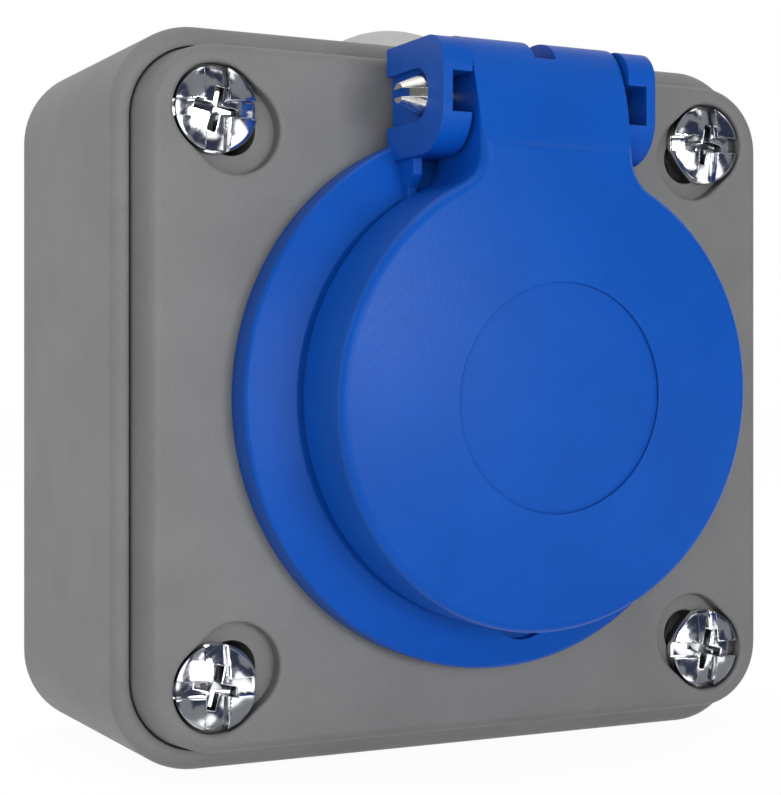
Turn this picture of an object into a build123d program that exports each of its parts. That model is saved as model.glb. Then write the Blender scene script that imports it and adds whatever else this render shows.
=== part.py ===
from build123d import *
import math
import os

# Weatherproof surface socket with a sprung hinged lid. Millimetres, X across, Z up.
# The wall is the plane y = 0 and the front faces -Y, so a depth d lies at y = -d.

# Enclosure
BOX_W = 82.0
BOX_H = 80.0
BOX_CORNER = 9.4
BACK_WALL = 3.0
RIM_DEPTH = 34.6
RIM_ROUND = 1.6
GASKET_SEAT = 33.0
COVER_SEAT = 34.0
SEAT_STEP = 2.3

# Cover
COVER_FRONT = 40.0
COVER_INSET_X = 3.8
COVER_INSET_Z = 4.8
COVER_CORNER = 7.8
COVER_DRAFT = 3.8
COVER_ROUND = 1.1
COVER_SKIN = 2.5
COVER_FOOT = 2.5
JOINT_GAP = 0.2

# Corner screws, their pockets and the wall fixing holes beside them
SCREW_INSET = 9.6
SCREW_R = 1.9
SCREW_HEAD_R = 4.65
SCREW_HEAD_H = 2.2
SCREW_RIM_H = 1.6
SCREW_SLOT_W = 1.7
SCREW_SLOT_IN = 0.8
SCREW_LENGTH = 17.0
POCKET_R = 4.9
POCKET_SHIFT_X = 2.2
POCKET_SHIFT_Z = 1.9
POCKET_FLOOR = 38.0
POCKET_ROUND = 0.4
POCKET_HOLE_R = 2.8
BOSS_WALL = 1.2
COLUMN_R = 4.6
COLUMN_FOOT_R = 6.2
FIXING_SHIFT_X = 3.1
FIXING_SHIFT_Z = 2.9
FIXING_R = 1.8

# Cable entries in the top and bottom walls
ENTRY_DEPTH = 17.0
ENTRY_R = 8.6
ENTRY_LIP_R = 10.0
ENTRY_LIP_T = 1.6
DOME_R = 10.6
DOME_RISE = 4.9
DOME_SKIN = 1.3

# Plug well and flange
WELL_R = 19.6
WELL_DEPTH = 17.5
WELL_FLOOR_T = 2.3
TUBE_WALL = 1.8
COLLAR_FRONT = 51.3
FLANGE_OUT = 5.0
FLANGE_RIM_T = 3.8
FLANGE_EDGE = 0.3
CONE_OUT = 0.8
CONE_RISE = 5.6
STEP_OUT = 2.7
STEP_RISE = 6.95
RIB_W = 4.8
RIB_REACH = 1.8
RIB_FRONT = 49.0
FLANGE_GROOVE_IN = 1.9
FLANGE_GROOVE_W = 1.6
FLANGE_GROOVE_D = 1.0
BODY_SCREW_R = 1.3
BODY_SCREW_IN = 3.0
BODY_HEAD_R = 2.6
BODY_HEAD_H = 1.8
DRIVE_W = 0.7
DRIVE_D = 0.7

# Hinge: the axis lies along X
AXIS_DEPTH = 49.5
AXIS_ABOVE = 7.0
PIN_R = 1.5
PIN_HEAD_R = 2.4
PIN_TIP_R = 1.05
PIN_SNAP_L = 2.8
PIN_SPLIT = 0.9
KNUCKLE_R = 6.35
KNUCKLE_HALF = 9.2
EAR_IN = 9.6
EAR_OUT = 13.0
EAR_RISE = 5.8
EAR_DROP = 6.4
EAR_BACK = 42.6
EAR_FRONT = 55.6
EAR_TOP_ROUND = 3.3
EAR_FOOT_ROUND = 4.6
EAR_WINDOW = 11.9
EAR_WINDOW_BACK = 44.1
EAR_WINDOW_HALF = 2.1
EAR_WINDOW_DROP = 0.3
EAR_POCKET = 12.3
EAR_POCKET_R = 2.75
PEDESTAL_T = 1.0
PEDESTAL_FRONT = 48.2
PEDESTAL_INSET = 0.4
PEDESTAL_BACK = 42.0
PEDESTAL_UNDER = 46.9

# Lid
LID_OUT = 0.7
LID_STOCK = 6.0
LID_BACK = 47.3
LID_SKIRT_OUT = 0.6
LID_ROOF = 52.6
LID_HOLLOW_IN = 2.1
LID_HOLLOW = 54.2
LID_CROWN_R = 175.0
LID_CENTRE = 58.0
LID_TILT = 3.4
LID_ROUND = 1.1
NECK_FLARE = 4.0
NECK_FALL = [(3.0, 5.75), (6.1, 0.8), (7.75, -5.4), (9.3, -10.8)]
RECESS_R = 12.1
RECESS_D = 0.4
NOTCH_R = 3.2
NOTCH_IN = 3.0
SCOOP_R = 4.3
SCOOP_OUT = 2.0
SCOOP_X = 2.6
SCOOP_FLOOR = 43.6
SEAL_GAP = 0.05
SEAL_OVER = 0.3

# Open limit: a tab on the flange stands in a slot round the knuckle
OPEN_ANGLE = 110.0
STOP_SLOT_HALF = 1.35
STOP_SLOT_R = 4.2
STOP_SLOT_FROM = -62.0
STOP_SLOT_TO = 139.0
STOP_TAB_HALF = 1.05
STOP_TAB_FRONT = 44.9
STOP_TAB_DROP = 4.9
STOP_MARGIN = 2.0

# Lid spring
SPRING_WIRE_R = 0.35
SPRING_R = 2.35
SPRING_HALF = 4.2
SPRING_TURNS = 6
SPRING_BORE_R = 3.4
SPRING_BORE_HALF = 5.4
SPRING_SLOT_W = 1.2
SPRING_REST_ANGLE = -38.0
SPRING_LEG_OUT = 6.55
SPRING_PUSH_ANGLE = -100.0
SPRING_PUSH_OUT = 5.6

# Contacts behind the well floor
PIN_SPACING = 19.0
SLEEVE_R = 3.6
SLEEVE_BORE_R = 2.45
SLEEVE_SLIT = 0.6
SLEEVE_BASE = 1.0
CARRIER_IN = 1.2
CARRIER_BACK = 15.2
PLATE_T = 1.4
NECK_R = 2.0
TERMINAL_W = 8.0
TERMINAL_H = 11.0
TERMINAL_BACK = 7.6
WIRE_R = 1.7
CLAMP_R = 1.5
CLAMP_HEAD_R = 2.3
CLAMP_RISE = 1.2
EARTH_TERMINAL_Z = -11.5
EARTH_W = 5.0
EARTH_T = 0.8
EARTH_IN = 1.2
EARTH_BULGE = 2.2
EARTH_TOP = 46.8
EARTH_CHANNEL = 3.0
PLATE_SCREW_R = 1.1
PLATE_SCREW_X = 12.5
PLATE_SCREW_Z = 10.5
PLATE_HEAD_R = 2.0
PLATE_HEAD_H = 1.2
PLATE_SCREW_IN = 6.0
PILOT_ROOM = 1.0
CENTRE_R = 1.5
CENTRE_HEAD_R = 3.2
CENTRE_HEAD_H = 1.9
CENTRE_LENGTH = 14.0
CENTRE_EDGE = 0.8

# Clearances
SLIP = 0.1
RUN = 0.05
THREAD = 0.03

TUBE_R = WELL_R + TUBE_WALL
STEP_R = TUBE_R + STEP_OUT
CONE_R = STEP_R + CONE_OUT
FLANGE_R = CONE_R + FLANGE_OUT
LID_R = STEP_R + LID_OUT
LID_SKIRT_R = TUBE_R + LID_SKIRT_OUT
LID_HOLLOW_R = WELL_R - LID_HOLLOW_IN
SEAL_IN = WELL_R - SEAL_OVER
SEAL_OUT = LID_SKIRT_R - SLIP
CARRIER_R = WELL_R - CARRIER_IN
EARTH_Z = WELL_R - EARTH_IN
AXIS_Z = LID_R + AXIS_ABOVE
EAR_TOP = AXIS_Z + EAR_RISE
EAR_FOOT = AXIS_Z - EAR_DROP
STOP_TAB_FOOT = AXIS_Z - STOP_TAB_DROP
SCOOP_LOW = LID_R + SCOOP_OUT
COVER_W = BOX_W - COVER_INSET_X
COVER_H = BOX_H - COVER_INSET_Z
SCREW_X = BOX_W / 2 - SCREW_INSET
SCREW_Z = BOX_H / 2 - SCREW_INSET
FLANGE_GROOVE_R = FLANGE_R - FLANGE_GROOVE_IN
BODY_SCREW_RING = FLANGE_GROOVE_R - FLANGE_GROOVE_W / 2 - BODY_SCREW_R - SLIP
WELL_FLOOR = COLLAR_FRONT - WELL_DEPTH
WELL_BACK = WELL_FLOOR - WELL_FLOOR_T
OPENING_W = COVER_W + 2 * JOINT_GAP
OPENING_H = COVER_H + 2 * JOINT_GAP
OPENING_CORNER = COVER_CORNER + JOINT_GAP
CAVITY_W = OPENING_W - 2 * SEAT_STEP
CAVITY_H = OPENING_H - 2 * SEAT_STEP
CAVITY_CORNER = OPENING_CORNER - SEAT_STEP
COVER_BACK = COVER_FRONT - COVER_SKIN
PLATE_BACK = CARRIER_BACK - PLATE_T
CENTRE_END = WELL_FLOOR - CENTRE_LENGTH
CORNERS = [(sx, sz) for sx in (-1, 1) for sz in (-1, 1)]


def front(depth):
    """Plane that faces the viewer at a depth from the wall."""
    return Plane.XZ.offset(depth)


def disc(radius, start, end, x=0.0, z=0.0):
    """Round bar along the depth, between two depths."""
    return extrude(front(start) * (Pos(x, z) * Circle(radius)), end - start)


def block(width, height, start, end, x=0.0, z=0.0):
    """Square bar along the depth, between two depths."""
    return extrude(front(start) * (Pos(x, z) * Rectangle(width, height)), end - start)


def slab(width, height, corner, start, end, taper=0.0):
    """Rounded rectangle along the depth, between two depths."""
    return extrude(front(start) * RectangleRounded(width, height, corner), end - start, taper=taper)


def track(x, z, dx, dz, radius, start, end):
    """Straight slot along the depth from (x, z) to (x + dx, z + dz)."""
    turn = math.degrees(math.atan2(dz, dx))
    shape = SlotCenterToCenter(math.hypot(dx, dz), 2 * radius)
    shape = Pos(x + dx / 2, z + dz / 2) * (Rot(0, 0, turn) * shape)
    return extrude(front(start) * shape, end - start)


def side(x):
    """Plane across the part: its first axis is the depth, its second is Z."""
    return Plane(origin=(x, 0, 0), x_dir=(0, -1, 0), z_dir=(-1, 0, 0))


def across(shape, low, high):
    """Profile of depth and height, carried along X between two places."""
    return extrude(side(high) * shape, high - low)


def turned(points):
    """Ring about the depth axis from (radius, depth) points."""
    outline = Polyline([(r, -d) for r, d in points], close=True)
    return revolve(make_face(outline), Axis.Y)


def round_axis(radius, low, high):
    """Bar along X on the hinge axis."""
    return across(Pos(AXIS_DEPTH, AXIS_Z) * Circle(radius), low, high)


def sector(inner, outer, start, stop):
    """Part ring about the hinge axis. An angle of 0 points at the wall and 90 points up."""
    steps = 16
    turns = [math.radians(start + (stop - start) * i / steps) for i in range(steps + 1)]
    rim = [(-outer * math.cos(a), outer * math.sin(a)) for a in turns]
    hub = [(-inner * math.cos(a), inner * math.sin(a)) for a in reversed(turns)]
    return Pos(AXIS_DEPTH, AXIS_Z) * make_face(Polyline(rim + hub, close=True))


def edges_at(shape, depth):
    """Edges that lie wholly at one depth."""
    return shape.edges().filter_by(
        lambda e: all(abs(v.Y + depth) < 1e-4 for v in e.vertices()) and abs(e.center().Y + depth) < 1e-4
    )


def back_box():
    body = slab(BOX_W, BOX_H, BOX_CORNER, 0, RIM_DEPTH)
    body = fillet(edges_at(body, RIM_DEPTH), RIM_ROUND)
    body -= slab(OPENING_W, OPENING_H, OPENING_CORNER, GASKET_SEAT, RIM_DEPTH)
    body -= slab(CAVITY_W, CAVITY_H, CAVITY_CORNER, BACK_WALL, GASKET_SEAT)
    foot_top = GASKET_SEAT - SLIP
    for sx, sz in CORNERS:
        x, z = sx * SCREW_X, sz * SCREW_Z
        dx, dz = -sx * FIXING_SHIFT_X, -sz * FIXING_SHIFT_Z
        column = track(x, z, dx, dz, COLUMN_R, 0, COVER_SEAT)
        foot = track(x, z, dx, dz, COLUMN_FOOT_R, 0, foot_top)
        body += column + (foot & slab(BOX_W - 2, BOX_H - 2, BOX_CORNER - 1, 0, foot_top))
    for sx, sz in CORNERS:
        x, z = sx * SCREW_X, sz * SCREW_Z
        body -= disc(SCREW_R + THREAD, POCKET_FLOOR - SCREW_LENGTH - PILOT_ROOM, COVER_SEAT, x, z)
        body -= disc(FIXING_R, 0, COVER_SEAT, x - sx * FIXING_SHIFT_X, z - sz * FIXING_SHIFT_Z)
    entry = front(ENTRY_DEPTH).origin
    hole = Cylinder(ENTRY_R, BOX_H + 2).moved(Location(entry))
    return body - hole


def cover_gasket():
    ring = slab(OPENING_W - 2 * SLIP, OPENING_H - 2 * SLIP, OPENING_CORNER - SLIP, GASKET_SEAT, COVER_SEAT)
    inner = SEAT_STEP - 2 * SLIP
    return ring - slab(
        OPENING_W - 2 * inner, OPENING_H - 2 * inner, OPENING_CORNER - inner, GASKET_SEAT, COVER_SEAT
    )


def front_cover():
    body = slab(COVER_W, COVER_H, COVER_CORNER, COVER_SEAT, COVER_FRONT, COVER_DRAFT)
    body = fillet(edges_at(body, COVER_FRONT), COVER_ROUND)
    inner = 2 * COVER_FOOT
    body -= slab(COVER_W - inner, COVER_H - inner, COVER_CORNER - COVER_FOOT, COVER_SEAT, COVER_BACK)
    keep = slab(COVER_W - 1, COVER_H - 1, COVER_CORNER - 0.5, COVER_SEAT, COVER_BACK)
    boss_r = POCKET_R + BOSS_WALL
    for sx, sz in CORNERS:
        x, z = sx * SCREW_X, sz * SCREW_Z
        boss = track(x, z, -sx * POCKET_SHIFT_X, -sz * POCKET_SHIFT_Z, boss_r, COVER_SEAT, COVER_BACK)
        body += boss & keep
    for sx, sz in CORNERS:
        x, z = sx * SCREW_X, sz * SCREW_Z
        dx, dz = -sx * POCKET_SHIFT_X, -sz * POCKET_SHIFT_Z
        body -= track(x, z, dx, dz, POCKET_R, POCKET_FLOOR, COVER_FRONT)
    rims = edges_at(body, COVER_FRONT).filter_by(
        lambda e: WELL_R < abs(e.center().X) < SCREW_X + POCKET_R and abs(e.center().Z) < SCREW_Z + POCKET_R
    )
    body = fillet(rims, POCKET_ROUND)
    for sx, sz in CORNERS:
        x, z = sx * SCREW_X, sz * SCREW_Z
        body -= disc(SCREW_R + SLIP, COVER_SEAT, POCKET_FLOOR, x, z)
        inner_x, inner_z = x - sx * POCKET_SHIFT_X, z - sz * POCKET_SHIFT_Z
        body -= disc(POCKET_HOLE_R, COVER_SEAT, POCKET_FLOOR, inner_x, inner_z)
    body -= disc(TUBE_R + 3 * SLIP, COVER_BACK, COVER_FRONT)
    for x, z in body_screw_places():
        body -= disc(BODY_SCREW_R + SLIP, COVER_BACK, COVER_FRONT, x, z)
    return body


def cover_screw(x, z):
    rim = disc(SCREW_HEAD_R, POCKET_FLOOR, POCKET_FLOOR + SCREW_RIM_H, x, z)
    rise = SCREW_HEAD_H - SCREW_RIM_H
    ball_r = (SCREW_HEAD_R ** 2 + rise ** 2) / (2 * rise)
    ball_y = -(POCKET_FLOOR + SCREW_HEAD_H - ball_r)
    cap = disc(SCREW_HEAD_R, POCKET_FLOOR + SCREW_RIM_H, POCKET_FLOOR + SCREW_HEAD_H, x, z)
    head = rim + (cap & Pos(x, ball_y, z) * Sphere(ball_r))
    cut_floor = POCKET_FLOOR + SCREW_RIM_H - SCREW_SLOT_IN
    cut_top = POCKET_FLOOR + SCREW_HEAD_H
    head -= block(2 * SCREW_HEAD_R, SCREW_SLOT_W, cut_floor, cut_top, x, z)
    head -= block(SCREW_SLOT_W, 2 * SCREW_HEAD_R, cut_floor, cut_top, x, z)
    return head + disc(SCREW_R, POCKET_FLOOR - SCREW_LENGTH, POCKET_FLOOR, x, z)


def cover_screws():
    return Compound([cover_screw(sx * SCREW_X, sz * SCREW_Z) for sx, sz in CORNERS])


def entry_profile(points):
    """Ring about the entry's own upright axis from (radius, z) points."""
    face = front(ENTRY_DEPTH) * make_face(Polyline(points, close=True))
    return revolve(face, Axis(front(ENTRY_DEPTH).origin, (0, 0, 1)))


def top_entry_grommet():
    wall = BOX_H / 2
    inside = CAVITY_H / 2
    neck = ENTRY_R - SLIP
    lip = inside - ENTRY_LIP_T
    ball_r = (DOME_R ** 2 + DOME_RISE ** 2) / (2 * DOME_RISE)
    turns = [math.asin(DOME_R / ball_r) * i / 8 for i in range(8, 0, -1)]
    centre = wall + DOME_RISE - ball_r
    dome = [(ball_r * math.sin(a), centre + ball_r * math.cos(a)) for a in turns]
    inner = ball_r - DOME_SKIN
    bore = neck - 2 * DOME_SKIN
    turns = [math.asin(bore / inner) * i / 5 for i in range(1, 6)]
    hollow = [(inner * math.sin(a), centre + inner * math.cos(a)) for a in turns]
    outline = [(ENTRY_LIP_R, lip), (ENTRY_LIP_R, inside), (neck, inside), (neck, wall)]
    outline += dome + [(0, wall + DOME_RISE), (0, centre + inner)] + hollow + [(bore, lip)]
    return entry_profile(outline)


def bottom_entry_plug():
    wall = -BOX_H / 2
    inside = -CAVITY_H / 2
    neck = ENTRY_R - SLIP
    cup = wall + ENTRY_LIP_T
    lip = inside + ENTRY_LIP_T
    bore = neck - 2 * DOME_SKIN
    return entry_profile(
        [(0, wall), (neck, wall), (neck, inside), (ENTRY_LIP_R, inside), (ENTRY_LIP_R, lip), (bore, lip),
         (bore, cup), (0, cup)]
    )


def body_screw_places():
    reach = BODY_SCREW_RING * math.sqrt(0.5)
    return [(sx * reach, sz * reach) for sx, sz in CORNERS]


def ear(low, high):
    """One hinge ear: an upright block, rounded at the front above and below."""
    middle = (EAR_FOOT + EAR_TOP) / 2
    face = Pos((EAR_BACK + EAR_FRONT) / 2, middle) * Rectangle(EAR_FRONT - EAR_BACK, EAR_TOP - EAR_FOOT)
    upper = face.vertices().filter_by(lambda v: v.X > AXIS_DEPTH and v.Y > middle)
    face = fillet(upper, EAR_TOP_ROUND)
    lower = face.vertices().filter_by(lambda v: v.X > AXIS_DEPTH and v.Y < EAR_FOOT + 0.01)
    return across(fillet(lower, EAR_FOOT_ROUND), low, high)


def hinge_ears():
    left = ear(-EAR_OUT, -EAR_IN)
    right = ear(EAR_IN, EAR_OUT)
    ears = left + right
    reach = EAR_FRONT - EAR_WINDOW_BACK
    window = Rectangle(reach, 2 * EAR_WINDOW_HALF)
    window = Pos(EAR_WINDOW_BACK + reach / 2, AXIS_Z - EAR_WINDOW_DROP) * window
    ears -= across(window, -EAR_WINDOW, -EAR_IN)
    ears -= across(window, EAR_IN, EAR_WINDOW)
    pocket = Pos(AXIS_DEPTH, AXIS_Z) * Circle(EAR_POCKET_R)
    run = AXIS_DEPTH - EAR_BACK
    pocket += Pos(EAR_BACK + run / 2, AXIS_Z) * Rectangle(run, 2 * EAR_POCKET_R)
    ears -= across(pocket, -EAR_OUT, -EAR_POCKET)
    ears -= round_axis(EAR_POCKET_R, EAR_POCKET, EAR_OUT)
    return ears - round_axis(PIN_R + RUN, -EAR_OUT, EAR_OUT)


def stop_tab():
    """Tab behind the knuckle that ends the lid's travel."""
    rest = math.radians(STOP_SLOT_TO - OPEN_ANGLE - STOP_MARGIN)
    back = COVER_FRONT + FLANGE_GROOVE_D
    near = AXIS_DEPTH - STOP_TAB_FRONT
    far = AXIS_DEPTH - back
    points = [(back, STOP_TAB_FOOT), (STOP_TAB_FRONT, STOP_TAB_FOOT)]
    points += [(STOP_TAB_FRONT, AXIS_Z + near * math.tan(rest)), (back, AXIS_Z + far * math.tan(rest))]
    return across(make_face(Polyline(points, close=True)), -STOP_TAB_HALF, STOP_TAB_HALF)


def pedestals():
    """Thin webs that brace the ears on the flange."""
    out = EAR_OUT - PEDESTAL_INSET
    inside = out - PEDESTAL_T
    clear = math.sqrt(LID_R ** 2 - inside ** 2) + PEDESTAL_INSET
    foot = math.sqrt(STEP_R ** 2 - out ** 2) - PEDESTAL_INSET
    head = EAR_FOOT + PEDESTAL_INSET
    lean = PEDESTAL_FRONT - PEDESTAL_UNDER
    points = [(PEDESTAL_BACK, foot), (PEDESTAL_UNDER, foot), (PEDESTAL_UNDER, clear)]
    points += [(PEDESTAL_FRONT, clear + lean), (PEDESTAL_FRONT, head), (PEDESTAL_BACK, head)]
    face = make_face(Polyline(points, close=True))
    return across(face, -out, -inside) + across(face, inside, out)


def socket_body():
    rim = COVER_FRONT + FLANGE_RIM_T
    cone = COVER_FRONT + CONE_RISE
    step = COVER_FRONT + STEP_RISE
    body = turned(
        [(0, WELL_BACK), (0, WELL_FLOOR), (WELL_R, WELL_FLOOR), (WELL_R, COLLAR_FRONT),
         (TUBE_R, COLLAR_FRONT), (TUBE_R, step), (STEP_R, step), (STEP_R, cone), (CONE_R, cone),
         (FLANGE_R - FLANGE_EDGE, rim), (FLANGE_R, rim - FLANGE_EDGE), (FLANGE_R, COVER_FRONT),
         (TUBE_R, COVER_FRONT), (TUBE_R, WELL_BACK)]
    )
    half = FLANGE_GROOVE_W / 2
    groove = disc(FLANGE_GROOVE_R + half, COVER_FRONT, COVER_FRONT + FLANGE_GROOVE_D)
    groove -= disc(FLANGE_GROOVE_R - half, COVER_FRONT, COVER_FRONT + FLANGE_GROOVE_D)
    body -= groove
    body -= round_axis(KNUCKLE_R + 3 * SLIP, -EAR_IN, EAR_IN)
    body += hinge_ears() + pedestals() + stop_tab()
    scoop = disc(SCOOP_R, SCOOP_FLOOR, step, SCOOP_X, SCOOP_R - SCOOP_LOW)
    body -= scoop - disc(STEP_R, SCOOP_FLOOR, step)
    for x, z in body_screw_places():
        body -= disc(BODY_SCREW_R + THREAD, COVER_FRONT, COVER_FRONT + BODY_SCREW_IN + 3 * SLIP, x, z)
    for sx in (-1, 1):
        x = sx * (WELL_R + SLIP - RIB_REACH / 2)
        body += block(RIB_REACH + 2 * SLIP, RIB_W, WELL_FLOOR - SLIP, RIB_FRONT, x)
        body -= disc(SLEEVE_BORE_R, WELL_BACK, WELL_FLOOR, sx * PIN_SPACING / 2)
    body -= disc(CENTRE_R + SLIP, WELL_BACK, WELL_FLOOR)
    slot_h = EARTH_T + 2 * SLIP
    for sz in (-1, 1):
        body -= block(EARTH_W + 2 * SLIP, slot_h, WELL_BACK, WELL_FLOOR, 0, sz * EARTH_Z)
    return body


def flange_gasket():
    half = FLANGE_GROOVE_W / 2 - SLIP
    ring = disc(FLANGE_GROOVE_R + half, COVER_FRONT, COVER_FRONT + FLANGE_GROOVE_D)
    return ring - disc(FLANGE_GROOVE_R - half, COVER_FRONT, COVER_FRONT + FLANGE_GROOVE_D)


def body_screw(x, z):
    head = disc(BODY_HEAD_R, COVER_BACK - BODY_HEAD_H, COVER_BACK, x, z)
    top = COVER_BACK - BODY_HEAD_H
    head -= block(2 * BODY_HEAD_R, DRIVE_W, top, top + DRIVE_D, x, z)
    return head + disc(BODY_SCREW_R, COVER_BACK, COVER_FRONT + BODY_SCREW_IN, x, z)


def socket_fixing_screws():
    return Compound([body_screw(x, z) for x, z in body_screw_places()])


def hinge_pin():
    pin = round_axis(PIN_R, -EAR_POCKET, EAR_POCKET)
    head = round_axis(PIN_HEAD_R, EAR_POCKET, EAR_OUT - SLIP)
    base = side(-EAR_POCKET) * (Pos(AXIS_DEPTH, AXIS_Z) * Circle(PIN_HEAD_R))
    tip = side(-EAR_POCKET - PIN_SNAP_L) * (Pos(AXIS_DEPTH, AXIS_Z) * Circle(PIN_TIP_R))
    snap = loft([base.face(), tip.face()])
    split = Pos(AXIS_DEPTH, AXIS_Z) * Rectangle(2 * PIN_HEAD_R, PIN_SPLIT)
    snap -= across(split, -EAR_POCKET - PIN_SNAP_L, -EAR_POCKET - 3 * SLIP)
    return pin + head + snap


def crown(radius):
    """Ball whose skin is the lid's leaning, crowned face."""
    lean = math.radians(LID_TILT)
    y = -(LID_CENTRE - LID_CROWN_R * math.cos(lean))
    return Pos(0, y, LID_CROWN_R * math.sin(lean)) * Sphere(radius)


def lid_plan():
    """The lid seen from the front: a disc with a neck, flared where they meet."""
    neck_top = AXIS_Z + KNUCKLE_R
    plan = Circle(LID_R) + Pos(0, neck_top / 2) * Rectangle(2 * KNUCKLE_HALF, neck_top)
    meets = math.sqrt(LID_R ** 2 - KNUCKLE_HALF ** 2)
    corners = plan.vertices().filter_by(lambda v: abs(v.Y - meets) < 0.01)
    return fillet(corners, NECK_FLARE)


def neck_envelope():
    """Side view that the lid keeps inside: its back, the knuckle and the neck's falling face."""
    lift = math.sqrt(KNUCKLE_R ** 2 - (AXIS_DEPTH - LID_BACK) ** 2)
    low = -LID_R - 2
    high_depth = LID_CENTRE + LID_STOCK
    start = (LID_BACK, AXIS_Z - lift)
    top = (AXIS_DEPTH, AXIS_Z + KNUCKLE_R)
    rear = (AXIS_DEPTH - KNUCKLE_R, AXIS_Z)
    knuckle = ThreePointArc(start, rear, top)
    falling = [(AXIS_DEPTH + d, AXIS_Z + z) for d, z in NECK_FALL]
    shoulder = falling[-1]
    fall = Spline([top] + falling, tangents=[(1, 0), (0.15, -1)])
    face = Line(shoulder, (high_depth, shoulder[1] - 1))
    outer = Polyline([(high_depth, shoulder[1] - 1), (high_depth, low), (LID_BACK, low), start])
    return make_face(knuckle + fall + face + outer)


def soften(body):
    """Rounds the lid's front edge."""
    rim = body.edges().filter_by(
        lambda e: e.center().Y < -(LID_BACK + 3) and e.length > 1.0 and e.center().Z < AXIS_Z
    )
    return fillet(rim, LID_ROUND)


def lid():
    blank = extrude(front(COVER_FRONT) * lid_plan(), LID_CENTRE + LID_STOCK - COVER_FRONT)
    blank &= across(neck_envelope(), -LID_R - 2, LID_R + 2)
    body = blank & crown(LID_CROWN_R)
    body = soften(body)
    body -= disc(LID_SKIRT_R, LID_BACK, LID_ROOF)
    body -= disc(LID_HOLLOW_R, LID_ROOF, LID_HOLLOW)
    body -= disc(RECESS_R, LID_HOLLOW + 1, LID_CENTRE + 2) - crown(LID_CROWN_R - RECESS_D)
    body -= Pos(0, -LID_BACK, -LID_R) * Cylinder(NOTCH_R, 2 * NOTCH_IN)
    slot = sector(STOP_SLOT_R, KNUCKLE_R + 4, STOP_SLOT_FROM, STOP_SLOT_TO)
    body -= across(slot, -STOP_SLOT_HALF, STOP_SLOT_HALF)
    body -= round_axis(PIN_R + RUN, -KNUCKLE_HALF, KNUCKLE_HALF)
    body -= round_axis(SPRING_BORE_R, -SPRING_BORE_HALF, SPRING_BORE_HALF)
    rest = sector(PIN_R, KNUCKLE_R + 4, SPRING_REST_ANGLE - 32, SPRING_REST_ANGLE + OPEN_ANGLE + 8)
    body -= across(rest, SPRING_HALF - SPRING_SLOT_W / 2, SPRING_HALF + SPRING_SLOT_W / 2)
    push = sector(PIN_R, SPRING_PUSH_OUT + 0.3, SPRING_PUSH_ANGLE - 8, SPRING_PUSH_ANGLE + 30)
    return body - across(push, -SPRING_HALF - SPRING_SLOT_W / 2, -SPRING_HALF + SPRING_SLOT_W / 2)


def lid_seal():
    back = COLLAR_FRONT + SEAL_GAP
    return disc(SEAL_OUT, back, LID_ROOF) - disc(SEAL_IN, back, LID_ROOF)


def leg_turn(out):
    """Angle between where a leg leaves the coil and where it ends."""
    return math.degrees(math.acos(SPRING_R / out))


def spring_place(x):
    """Plane across the hinge axis: its first axis points at the wall, its second up."""
    return Plane(origin=(x, -AXIS_DEPTH, AXIS_Z), x_dir=(0, 1, 0), z_dir=(1, 0, 0))


def leg_tip(x, angle, out):
    """Point at an angle and a reach from the hinge axis."""
    turn = math.radians(angle)
    return spring_place(x).from_local_coords(Vector(out * math.cos(turn), out * math.sin(turn), 0))


def lid_spring():
    """Torsion spring: the coil's two ends run out along their tangents as legs."""
    first = SPRING_PUSH_ANGLE + leg_turn(SPRING_PUSH_OUT)
    last = SPRING_REST_ANGLE - leg_turn(SPRING_LEG_OUT)
    turns = SPRING_TURNS + (last - first) / 360
    coil = Helix(2 * SPRING_HALF / turns, 2 * SPRING_HALF, SPRING_R)
    coil = (spring_place(-SPRING_HALF).location * Rot(0, 0, first)) * coil
    push = Line(leg_tip(-SPRING_HALF, SPRING_PUSH_ANGLE, SPRING_PUSH_OUT), coil @ 0)
    rest = Line(coil @ 1, leg_tip(SPRING_HALF, SPRING_REST_ANGLE, SPRING_LEG_OUT))
    path = Wire([*push.edges(), *coil.edges(), *rest.edges()])
    section = Plane(origin=path @ 0, z_dir=path % 0) * Circle(SPRING_WIRE_R)
    return sweep(section, path)


def plate_screw_place(sx):
    return -sx * PLATE_SCREW_X, sx * PLATE_SCREW_Z


def earth_channel(sz, start, end):
    """Way for one earth clip, open at its outer side."""
    middle = EARTH_Z + EARTH_CHANNEL / 2 - EARTH_T
    return block(EARTH_W + 2 * SLIP, EARTH_CHANNEL, start, end, 0, sz * middle)


def contact_carrier():
    body = disc(CARRIER_R, CARRIER_BACK, WELL_BACK)
    pilot_end = CARRIER_BACK + PLATE_SCREW_IN + PILOT_ROOM
    for sx in (-1, 1):
        body -= disc(SLEEVE_R + SLIP, CARRIER_BACK, WELL_BACK, sx * PIN_SPACING / 2)
        body -= disc(PLATE_SCREW_R + THREAD, CARRIER_BACK, pilot_end, *plate_screw_place(sx))
        body -= earth_channel(sx, CARRIER_BACK, WELL_BACK)
    return body - disc(CENTRE_R + THREAD, CENTRE_END - PILOT_ROOM, WELL_BACK)


def terminal_plate():
    body = disc(CARRIER_R, PLATE_BACK, CARRIER_BACK)
    for sx in (-1, 1):
        body -= disc(NECK_R + SLIP, PLATE_BACK, CARRIER_BACK, sx * PIN_SPACING / 2)
        body -= disc(PLATE_SCREW_R + SLIP, PLATE_BACK, CARRIER_BACK, *plate_screw_place(sx))
        body -= earth_channel(sx, PLATE_BACK, CARRIER_BACK)
    return body


def plate_screws():
    made = []
    for sx in (-1, 1):
        x, z = plate_screw_place(sx)
        screw = disc(PLATE_HEAD_R, PLATE_BACK - PLATE_HEAD_H, PLATE_BACK, x, z)
        screw += disc(PLATE_SCREW_R, PLATE_BACK, CARRIER_BACK + PLATE_SCREW_IN, x, z)
        made.append(screw)
    return Compound(made)


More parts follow.
